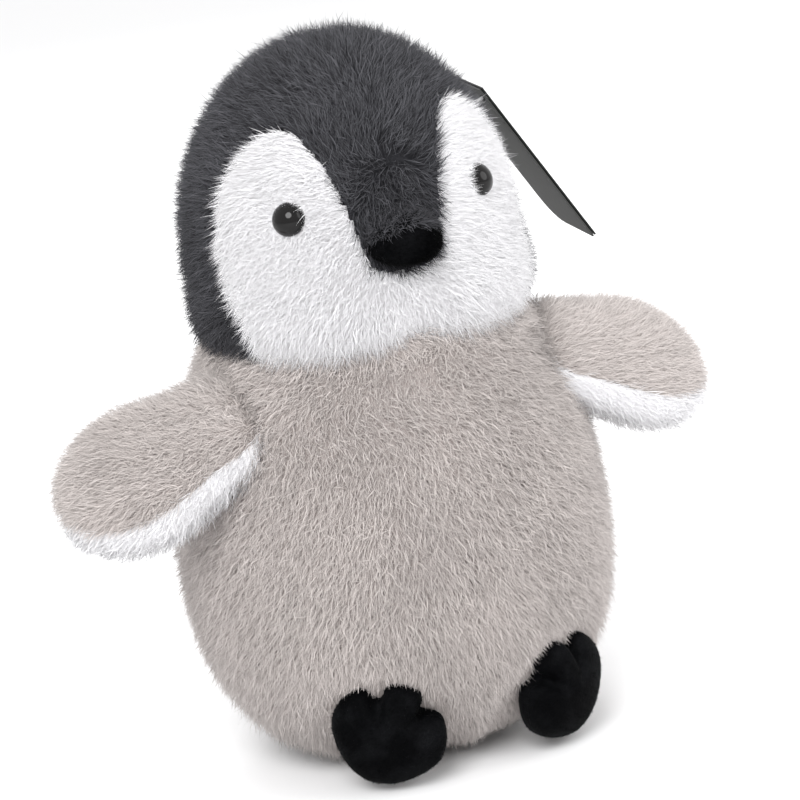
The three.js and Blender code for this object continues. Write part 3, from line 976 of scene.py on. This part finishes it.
class PENGUIN_OT_neck(bpy.types.Operator):
    """Makes the band of pile that closes the neck"""

    bl_idname = "penguin.neck"
    bl_label = "Neck band"

    def execute(self, context):
        chosen = sizes()
        band = body_ball(chosen.pile_height - BODY_FULLNESS)
        band.name = band.data.name = "neck_band_cloth"
        sheet = trimmed(
            band,
            "neck_band_sheet",
            ((0, 0, NECK + NECK_GAP), (0, 0, 1)),
            ((0, 0, NECK - NECK_GAP - 0.5 * MM), (0, 0, -1)),
        )
        remove(band)
        roots, normals = scattered(sheet, NECK_COUNT, 71)
        pile = strands(
            "neck_band_pile",
            roots,
            normals,
            body_comb(roots),
            chosen.body_strand * 0.9,
            chosen.strand_width,
            (0.6, 0.25),
            72,
        )
        bend = ("neck", "head", (0, 0, NECK - NECK_GAP), (0, 0, NECK + NECK_GAP))
        dress(backed(sheet), pile, "taupe", bend, 0.7)
        sheet.name = sheet.data.name = "neck_band_cloth"
        return {"FINISHED"}


# ---- Head ----


def head_comb(points, kind):
    """Nap of the head: back over the crown on the hood, out and down from the beak on the face."""
    if kind == "white":
        away = points - np.array(BEAK_MIDDLE)
        comb = unit(away * (1, 0, 1)) + np.array((0, 0, -0.75))
        return comb + ripple(points, 16 * MM, 8) * 0.1
    comb = np.tile((0.0, 0.9, -0.25), (len(points), 1))
    comb[:, 2] += 0.8 * smoothstep(-points[:, 1], 10 * MM, 55 * MM)
    comb[:, 0] += np.sign(points[:, 0]) * 0.25
    comb[:, 2] -= 1.6 * smoothstep(-points[:, 2], -205 * MM, -165 * MM)
    near = np.array(BEAK_MIDDLE) + (0, 0, 8 * MM)
    ring = 1 - smoothstep(np.linalg.norm(points - near, axis=1), 9 * MM, 26 * MM)
    comb += np.outer(ring * (points[:, 1] < 0), (0, -0.6, -1.9))
    return comb + ripple(points, 18 * MM, 9) * 0.45


def eye_seat(side):
    """Seat and outward direction of an eye, from the washer behind it and the eye itself."""
    corners = [Vector(v.co) for v in frame["nodes"]["eye_" + side].data.vertices]
    rim = [Vector(v.co) for v in frame["nodes"]["eye_washer_" + side].data.vertices]
    washer = sum(rim, Vector()) / len(rim)
    ahead = [c for c in corners if (c - washer).dot(Vector((0, -1, 0.3))) > 0]
    far = max(ahead, key=lambda corner: (corner - washer).length)
    out = (far - washer).normalized()
    seat = far - out * EYE_DOME
    return np.array(seat), np.array(out)


def beside_eye(points, side):
    """How far each point lies from an eye's middle line."""
    seat, out = eye_seat(side)
    away = points - seat
    return away - np.outer(away @ out, out)


def with_cheeks(form):
    """Fills out the lower face, which hangs a little over the chest."""
    place = points_of(form)
    level = np.exp(-(((place[:, 2] - 166 * MM) / (10 * MM)) ** 2))
    front = smoothstep(-place[:, 1], -30 * MM, 15 * MM)
    out = unit(place * (1, 1, 0))
    move_points(form, place + out * (CHEEK_SWELL * level * front)[:, None])
    return form


class PENGUIN_OT_head(bpy.types.Operator):
    """Stuffs the head, cuts it into white face and charcoal hood panels, and grows their pile"""

    bl_idname = "penguin.head"
    bl_label = "Head"

    def execute(self, context):
        chosen = sizes()
        swell = chosen.seam_depth * 0.8
        form = stuffed(
            with_cheeks(head_ball(chosen.pile_height + 0.3 * MM)),
            5.2 * MM,
            swell,
            lambda p: (abs(p[:, 0]) < 2.2 * MM) | (p[:, 2] < 150 * MM),
        )
        for side, sign in SIDES.items():
            half = trimmed(
                form,
                "head_half",
                ((0, 0, NECK + NECK_GAP - CHIN_DROP), (0, 0, -1)),
                ((0, 0, 0), (-sign, 0, 0)),
            )
            apply_modifier(half, "SUBSURF", levels=1, render_levels=1, subdivision_type="SIMPLE")
            for kind, part in (("white", "face"), ("charcoal", "hood")):
                self.panel(half, side, sign, kind, part, chosen)
            remove(half)
        remove(form)
        return {"FINISHED"}

    def panel(self, half, side, sign, kind, part, chosen):
        name = f"{part}_panel_{side}"
        sheet = copied(half, name + "_cloth")
        only(sheet)
        wanted = is_white(values(sheet.data.polygons, "center")) == (kind == "white")
        bpy.ops.object.mode_set(mode="EDIT")
        bpy.ops.mesh.select_mode(type="FACE")
        bpy.ops.mesh.select_all(action="DESELECT")
        bpy.ops.object.mode_set(mode="OBJECT")
        sheet.data.polygons.foreach_set("select", ~wanted)
        bpy.ops.object.mode_set(mode="EDIT")
        bpy.ops.mesh.delete(type="FACE")
        bpy.ops.object.mode_set(mode="OBJECT")
        seed = 40 + sign + (4 if kind == "white" else 0)
        count = FACE_COUNT if kind == "white" else chosen.head_count
        roots, normals = scattered(half, HEAD_SAMPLES, seed)
        roots, normals = keep_only(roots, normals, is_white(roots) == (kind == "white"))
        beak = in_axes(roots, np.array(BEAK_MIDDLE), (1, 0, 0), (0, 1, 0), (0, 0, 1))
        clear = (beak[:, 0] / (9.5 * MM)) ** 2 + ((beak[:, 2] + 1 * MM) / (6.5 * MM)) ** 2 > 1
        roots, normals = keep_only(roots, normals, clear | (roots[:, 1] > 0))
        if kind == "white":
            from_eye = np.linalg.norm(beside_eye(roots, side), axis=1)
            roots, normals = keep_only(roots, normals, from_eye > EYE_CLEARING)
        rng = np.random.default_rng(seed)
        pick = rng.permutation(len(roots))[:count]
        roots, normals = roots[pick], normals[pick]
        comb = head_comb(roots, kind)
        strand = chosen.face_strand if kind == "white" else chosen.head_strand
        length = strand * np.ones(len(roots))
        if kind == "white":
            low = smoothstep(-roots[:, 2], -178 * MM, -160 * MM)
            dip = np.exp(-(((np.abs(roots[:, 0]) - 26 * MM) / (20 * MM)) ** 2))
            length *= 1 + low * (0.1 + 0.4 * dip)
            length *= 1 - 0.5 * low * np.exp(-((roots[:, 0] / (8 * MM)) ** 2))
            comb[:, 2] -= low * 0.8
            aside = beside_eye(roots, side)
            near = 1 - smoothstep(np.linalg.norm(aside, axis=1), *EYE_PARTING)
            parted = EYE_PARTED * near[:, None]
            comb = unit(comb) * (1 - parted) + unit(aside) * parted
            length *= 1 - 0.3 * near
        pile = strands(
            name.replace("panel", "pile"),
            roots,
            normals,
            comb,
            length,
            chosen.strand_width * (0.85 if kind == "white" else 0.95),
            (0.66, 0.36) if kind == "charcoal" else (0.66, 0.44),
            seed + 20,
            lock=4,
            pull=0.16 if kind == "charcoal" else 0.02,
            wild=0.36 if kind == "charcoal" else 0.24,
            relief=0.6 if kind == "charcoal" else 0.03,
        )
        dress(backed(sheet), pile, kind, "head", 0.85, name)


def keep_only(roots, normals, wanted):
    return roots[wanted], normals[wanted]


# Outline of a face panel from the front, as (height, half width) in millimetres: the dark tongue
# between the panels, and the outer edge.
TONGUE = [(178.5, -2), (180.5, 8), (183, 14), (191, 16), (205, 18.5), (219, 22), (231, 27)]
OUTER = [
    (140, 40),
    (152, 49),
    (158, 54),
    (166, 57.5),
    (175, 58.5),
    (197, 59),
    (215, 55),
    (228, 47),
    (235, 38),
    (236.5, 34),
]


def is_white(points):
    """True where the head is white. The outline is on the tips, so points are moved out to them."""
    middle = np.array((0, 0, HEAD_WIDEST))
    points = middle + (points - middle) * (HEAD_HALF / (HEAD_HALF - sizes().pile_height))
    height = points[:, 2] / MM
    width = np.abs(points[:, 0]) / MM
    wave = ripple(points, 9 * MM, 77)[:, 0] * 0.6
    inner = np.interp(height, *zip(*TONGUE))
    outer = np.interp(height, *zip(*OUTER))
    arch = height < 236.5 - ((width - 35) / 9).clip(-3, 0) ** 2 * 5.5
    return (points[:, 1] < 0) & (width + wave > inner) & (width + wave < outer) & arch


class PENGUIN_OT_eyes(bpy.types.Operator):
    """Makes the two domed safety eyes on their posts"""

    bl_idname = "penguin.eyes"
    bl_label = "Eyes"

    def execute(self, context):
        black = colours().eye
        # The eye plastic takes the velour's pattern: its lighter patches are a faint painted sheen.
        shades = {"Nap": black, "Sheen Patches": tuple(level * 1.6 for level in black)}
        look = material("Eye plastic", velour_group(), shades, 0.08, Specular_IOR_Level=0.28)
        for side in SIDES:
            seat, out = eye_seat(side)
            made = ball("eye_" + side + "_dome", 40, 24)
            place = points_of(made)
            below = place[:, 2] < 0
            place[:, 2] = np.where(below, place[:, 2] * 1.2 * MM, place[:, 2] * EYE_DOME)
            place[:, :2] *= EYE_RADIUS
            move_points(made, place)
            bpy.ops.object.select_all(action="DESELECT")
            bpy.ops.mesh.primitive_cylinder_add(
                vertices=20,
                radius=EYE_POST_RADIUS,
                depth=EYE_POST_LENGTH,
                location=(0, 0, -EYE_POST_LENGTH / 2),
            )
            post = bpy.context.object
            bpy.ops.object.transform_apply(location=True, rotation=False, scale=False)
            post.select_set(True)
            made.select_set(True)
            bpy.context.view_layer.objects.active = made
            bpy.ops.object.join()
            turn = Vector((0, 0, 1)).rotation_difference(Vector(out)).to_matrix().to_4x4()
            made.data.transform(Matrix.Translation(Vector(seat)) @ turn)
            only(made)
            bpy.ops.object.shade_smooth_by_angle(angle=math.radians(40))
            fit_out(made, look, "head", nodes=("eye_" + side,))
        return {"FINISHED"}


def velour_fibres(sheet, name, count, comb, seed, length, body):
    """Grows the short nap of a velour sheet."""
    roots, normals = scattered(sheet, count, seed)
    pile = strands(
        name,
        roots,
        normals,
        comb(roots) + ripple(roots, 6 * MM, seed) * 0.5,
        length,
        0.32 * MM,
        (0.6, 0.35),
        seed,
        lock=5,
        pull=0.3,
        wild=0.35,
    )
    fit_out(pile, velour_material(), body)


class PENGUIN_OT_beak(bpy.types.Operator):
    """Makes the stuffed velour beak in its upper and lower halves"""

    bl_idname = "penguin.beak"
    bl_label = "Beak"

    def execute(self, context):
        form = ball("beak_form", 48, 32)
        place = points_of(form)
        place *= tuple(BEAK_HALF)
        lip = np.exp(-((place[:, 2] / (1.1 * MM)) ** 2)) * 0.15 * MM
        place[:, 0] -= np.sign(place[:, 0]) * np.minimum(lip, abs(place[:, 0]) * 0.5)
        place[:, 1] += np.where(place[:, 1] < 0, lip, 0)
        place[:, 0] *= 1 + 0.1 * (-place[:, 2] / BEAK_HALF.z)
        place[:, 2] *= np.where(place[:, 2] < 0, 0.78, 1)
        move_points(form, place)
        turn = Matrix.Rotation(BEAK_DROOP, 4, "X")
        form.data.transform(Matrix.Translation(BEAK_MIDDLE) @ turn)
        up = turn.to_3x3() @ Vector((0, 0, 1))
        back = ((0, -47 * MM, 0), (0, 1, 0))
        for part, sign in (("upper", 1), ("lower", -1)):
            edge = BEAK_MIDDLE + up * sign * MOUTH_GAP / 2
            half = trimmed(form, f"beak_{part}_velour", (edge, up * -sign), back)
            velour_fibres(
                half,
                f"beak_{part}_nap",
                BEAK_COUNT,
                lambda p: np.tile((0.0, -1.0, -0.4), (len(p), 1)),
                90 + sign,
                sizes().velour_fibre * 2.2,
                "head",
            )
            if part == "upper":
                self.brow(half)
            look = velour_material()
            fit_out(backed(half), look, "head", ("beak_" + part,))
        remove(form)
        return {"FINISHED"}

    def brow(self, half):
        """The hood's pile that lies over the back of the beak."""
        chosen = sizes()
        roots, normals = scattered(half, BROW_COUNT, 95)
        rise = roots[:, 2] - BEAK_MIDDLE.z + 0.25 * (roots[:, 1] + 62 * MM)
        roots, normals = keep_only(roots, normals, (roots[:, 1] > -62 * MM) & (rise > 4.2 * MM))
        comb = np.tile((0.0, -1.0, -0.5), (len(roots), 1)) + ripple(roots, 9 * MM, 96) * 0.4
        pile = strands(
            "beak_brow_pile",
            roots,
            normals,
            comb,
            chosen.head_strand * 0.62,
            chosen.strand_width * 0.9,
            (0.5, 0.3),
            97,
            wild=0.35,
            under=0.6,
        )
        pile_look, _, slot = cloth_finish("charcoal")
        fit_out(pile, pile_look, "head")


# ---- Flippers ----


def flipper_ball(side, inset):
    form = ball("flipper_form", 56, 48)
    sphere = points_of(form)[:, [2, 1, 0]]
    start = FLIPPER_ROOT_THICKNESS - inset
    reach = FLIPPER_LENGTH - inset - 1 * MM
    along = -start + (sphere[:, 0] + 1) / 2 * (reach + start)
    width, thick, _ = flipper_section(along)
    width, thick = width - inset, thick - inset
    ring = np.maximum(np.hypot(sphere[:, 1], sphere[:, 2]), 1e-9)
    past = np.clip((along - reach * 0.5) / (reach * 0.5), 0, 1)
    behind = np.clip(-along / start, 0, 1)
    taper = np.sqrt(np.maximum(0, 1 - past**2.2)) * np.sqrt(np.maximum(0, 1 - behind**2))
    local = np.stack(
        [along, sphere[:, 1] / ring * taper * width, sphere[:, 2] / ring * taper * thick], axis=1
    )
    origin, *axes = flipper_axes(side)
    move_points(form, origin + local @ np.stack(axes))
    only(form)
    bpy.ops.object.mode_set(mode="EDIT")
    bpy.ops.mesh.select_all(action="SELECT")
    bpy.ops.mesh.remove_doubles(threshold=0.02 * MM)
    bpy.ops.mesh.normals_make_consistent(inside=False)
    bpy.ops.object.mode_set(mode="OBJECT")
    return form


class PENGUIN_OT_flippers(bpy.types.Operator):
    """Stuffs the flippers, taupe above and white below"""

    bl_idname = "penguin.flippers"
    bl_label = "Flippers"

    def execute(self, context):
        chosen = sizes()
        for side, sign in SIDES.items():
            origin, along, across, top = flipper_axes(side)
            inset = chosen.pile_height * 0.45
            form = stuffed(
                flipper_ball(side, inset),
                3 * MM,
                1.6 * MM,
                lambda p: abs(in_axes(p, origin, along, across, top)[:, 2]) < 1.2 * MM,
            )
            tilt = math.cos(FLIPPER_SEAM_TILT), math.sin(FLIPPER_SEAM_TILT)
            seam = top * tilt[0] - across * tilt[1]
            seam_point = origin + top * 3.5 * MM
            root = Vector(origin - along * 10 * MM)
            bend = (
                "body",
                "flipper_" + side,
                tuple(origin + along * 2 * MM),
                tuple(origin + along * 24 * MM),
            )
            inner = filling(form, "flipper_stuffing_" + side, 2 * MM, bend)
            place = points_of(inner)
            behind = np.minimum((place - origin) @ along + 1 * MM, 0)
            move_points(inner, place - np.outer(behind, along))
            for part, facing, kind in (("upper", 1, "taupe"), ("under", -1, "white")):
                name = f"flipper_{part}_{side}"
                sheet = trimmed(
                    form,
                    name + "_cloth",
                    (root, -along),
                    (seam_point, seam * -facing),
                )
                seed = 200 + sign + 5 * facing
                roots, normals = scattered(sheet, FLIPPER_COUNT[part], seed)
                comb = np.tile(along, (len(roots), 1)) + ripple(roots, 14 * MM, seed) * 0.3
                comb += unit(roots - (origin + np.outer((roots - origin) @ along, along))) * 0.2
                if part == "under":
                    comb = comb + across * 0.25
                pile = strands(
                    name + "_pile",
                    roots,
                    normals,
                    comb,
                    chosen.body_strand * 0.85,
                    chosen.strand_width * 0.95,
                    (0.64, 0.3),
                    seed + 20,
                )
                dress(backed(sheet), pile, kind, bend, 0.8, name)
            remove(form)
        return {"FINISHED"}


# ---- Feet ----


def foot_ball(side, inset):
    form = ball("foot_form", 96, 40)
    sphere = points_of(form)
    ring = np.minimum(1, np.hypot(sphere[:, 0], sphere[:, 1]))
    angle = np.arctan2(sphere[:, 0], sphere[:, 1])
    between = np.exp(-(((np.abs(angle) - TOE_SPREAD / 2) / math.radians(8)) ** 2))
    notch = TOE_NOTCH * between
    grip = (FOOT_HALF_WIDTH - inset - notch * ring**2) / FOOT_HALF_WIDTH
    thick = np.sign(sphere[:, 2]) * np.abs(sphere[:, 2]) ** 0.8 * (FOOT_HALF_THICKNESS - inset)
    crease = between * smoothstep(ring, 0.15, 0.65)
    thick -= crease * 4.5 * MM * (sphere[:, 2] > 0)
    taper = 1 - HEEL_TAPER * smoothstep(-sphere[:, 1], 0, 1)
    width = sphere[:, 0] * grip * taper * FOOT_HALF_WIDTH
    local = np.stack([width, sphere[:, 1] * grip * FOOT_HALF_LENGTH, thick], axis=1)
    origin, *axes = foot_axes(side)
    move_points(form, origin + local @ np.stack(axes))
    return form


class PENGUIN_OT_feet(bpy.types.Operator):
    """Stuffs the velour feet with their sewn toes"""

    bl_idname = "penguin.feet"
    bl_label = "Feet"

    def execute(self, context):
        for side, sign in SIDES.items():
            origin, across, up, front = foot_axes(side)

            def sewn(p):
                local = in_axes(p, origin, across, up, front)
                angle = np.arctan2(local[:, 0], local[:, 1])
                ring = np.hypot(local[:, 0] / FOOT_HALF_WIDTH, local[:, 1] / FOOT_HALF_LENGTH)
                toe = (np.abs(np.abs(angle) - TOE_SPREAD / 2) < 0.07) & (ring > 0.5)
                return (abs(local[:, 2]) < 1 * MM) | (toe & (local[:, 2] > 0))

            form = stuffed(foot_ball(side, 0.9 * MM), 1.4 * MM, 1.4 * MM, sewn)
            low = points_of(form)
            low[:, 2] = np.maximum(low[:, 2], 1.0 * MM)
            move_points(form, low)
            hinge = origin - front * 9 * MM
            bend = ("body", "foot_" + side, tuple(hinge), tuple(hinge + front * 9 * MM))
            filling(form, "foot_stuffing_" + side, 2.2 * MM, bend)
            for part, facing in (("upper", 1), ("sole", -1)):
                name = f"foot_{part}_{side}"
                sheet = trimmed(form, name + "_velour", (origin, front * -facing))
                velour_fibres(
                    sheet,
                    name + "_nap",
                    FOOT_COUNT[part],
                    lambda p: np.tile(-up, (len(p), 1)),
                    300 + sign + 5 * facing,
                    sizes().velour_fibre,
                    bend,
                )
                fit_out(backed(sheet), velour_material(), bend, (name,))
            remove(form)
        return {"FINISHED"}


# ---- Tag and what is inside ----


def plain_material(name, shade, roughness, scale, spread, bump=0.2, specular=0.5):
    group = plain_group(name + " Grain", scale, spread)
    return material(
        name, group, {"Colour": shade}, roughness, bump=bump, Specular_IOR_Level=specular
    )


def card_material(name, shade, spread):
    return plain_material(name, shade, 0.6, 500, spread, specular=0.12)


def filling_material():
    return plain_material("Fibre filling", (0.9, 0.89, 0.85), 1.0, 180, 0.3, bump=0.8)


class PENGUIN_OT_hidden(bpy.types.Operator):
    """Finishes the tag, its pin and everything inside the cover"""

    bl_idname = "penguin.hidden"
    bl_label = "Tag and inside"

    def execute(self, context):
        shade = colours()
        looks = {
            "tag_back": card_material("Card inside", shade.card_inside, 0.12),
            "tag_cover": card_material("Card outside", shade.card_outside, 0.3),
            "tag_pin": plain_material("Clear pin plastic", (0.75, 0.75, 0.75), 0.3, 300, 0.1),
            "eye_washer": plain_material("Washer plastic", (0.8, 0.8, 0.78), 0.45, 300, 0.1),
            "pellet_bag": plain_material("Pellet cloth", (0.66, 0.62, 0.54), 0.95, 900, 0.4, 0.6),
            "stuffing": filling_material(),
        }
        for name, node in frame["nodes"].items():
            if node.hide_render:
                continue
            for key, look in looks.items():
                if key in name:
                    node.data.materials.clear()
                    node.data.materials.append(look)
        return {"FINISHED"}


# ---- Stage ----

# Each lamp's name, place and width in metres, and power in watts.
LAMPS = (
    ("key", (-0.9, -1.3, 1.5), 1.2, 32),
    ("fill", (1.3, -1.0, 0.9), 1.4, 12),
    ("back", (0.3, 1.3, 1.3), 1.2, 10),
)
FLOOR_SIZE = 30
STUDIO_LIGHT = 1.05
CAMERA_TURN = (math.radians(-20), math.radians(14), math.radians(8.3))
CAMERA_LENS = 135
CAMERA_DISTANCE = 1.085
CAMERA_AIM = Vector((9.7 * MM, -3.9 * MM, 122.7 * MM))
CAMERA_SHIFT = 1.3 * MM


class PENGUIN_OT_stage(bpy.types.Operator):
    """Sets the pale floor, the soft studio lights and the camera"""

    bl_idname = "penguin.stage"
    bl_label = "Stage"

    def execute(self, context):
        scene = context.scene
        bpy.ops.object.select_all(action="DESELECT")
        bpy.ops.mesh.primitive_plane_add(size=FLOOR_SIZE)
        floor = context.object
        floor.name = "floor"
        pale = plain_material("Pale floor", (0.87, 0.87, 0.875), 0.9, 3, 0.01, bump=0)
        floor.data.materials.append(pale)
        world = bpy.data.worlds.new("Studio")
        world.use_nodes = True
        world.node_tree.nodes["Background"].inputs[0].default_value = (1, 1, 1, 1)
        world.node_tree.nodes["Background"].inputs[1].default_value = STUDIO_LIGHT
        scene.world = world
        scene.view_settings.view_transform = "Standard"
        for name, place, width, power in LAMPS:
            lamp = bpy.data.lights.new(name, "AREA")
            lamp.shape = "DISK"
            lamp.size = width
            lamp.energy = power
            made = bpy.data.objects.new(name, lamp)
            made.location = place
            aim = Vector((0, 0, 0.13)) - Vector(place)
            made.rotation_euler = aim.to_track_quat("-Z", "Y").to_euler()
            scene.collection.objects.link(made)
        azimuth, rise, roll = CAMERA_TURN
        back = Vector(
            (
                math.sin(azimuth) * math.cos(rise),
                -math.cos(azimuth) * math.cos(rise),
                math.sin(rise),
            )
        )
        right = Vector((math.cos(azimuth), math.sin(azimuth), 0))
        up = back.cross(right)
        turned_right = right * math.cos(roll) - up * math.sin(roll)
        turned_up = right * math.sin(roll) + up * math.cos(roll)
        camera = bpy.data.objects.new("camera", bpy.data.cameras.new("camera"))
        camera.data.lens = CAMERA_LENS
        camera.data.sensor_width = 36
        camera.data.clip_start = 0.05
        aim = CAMERA_AIM - turned_right * CAMERA_SHIFT
        axes = Matrix((turned_right, turned_up, back)).transposed().to_4x4()
        camera.matrix_world = Matrix.Translation(aim + back * CAMERA_DISTANCE) @ axes
        scene.collection.objects.link(camera)
        scene.camera = camera
        return {"FINISHED"}


class PENGUIN_PT_panel(bpy.types.Panel):
    """Lists the penguin's pieces in the order they are made"""

    bl_label = "Plush Penguin"
    bl_idname = "PENGUIN_PT_panel"
    bl_space_type = "VIEW_3D"
    bl_region_type = "UI"
    bl_category = "Penguin"

    def draw(self, context):
        column = self.layout.column()
        for group in (context.scene.penguin_sizes, context.scene.penguin_colours):
            for name in group.__annotations__:
                column.prop(group, name)
        for step in STEPS:
            column.operator(step.bl_idname)


STEPS = (
    PENGUIN_OT_stage,
    PENGUIN_OT_body,
    PENGUIN_OT_neck,
    PENGUIN_OT_head,
    PENGUIN_OT_eyes,
    PENGUIN_OT_beak,
    PENGUIN_OT_flippers,
    PENGUIN_OT_feet,
    PENGUIN_OT_hidden,
)
CLASSES = (PenguinSizes, PenguinColours, *STEPS, PENGUIN_PT_panel)


def register():
    for item in CLASSES:
        bpy.utils.register_class(item)
    bpy.types.Scene.penguin_sizes = PointerProperty(type=PenguinSizes)
    bpy.types.Scene.penguin_colours = PointerProperty(type=PenguinColours)


def unregister():
    del bpy.types.Scene.penguin_colours
    del bpy.types.Scene.penguin_sizes
    for item in reversed(CLASSES):
        bpy.utils.unregister_class(item)


def main():
    register()
    for step in STEPS:
        group, name = step.bl_idname.split(".")
        getattr(getattr(bpy.ops, group), name)()


if __name__ == "__main__":
    main()
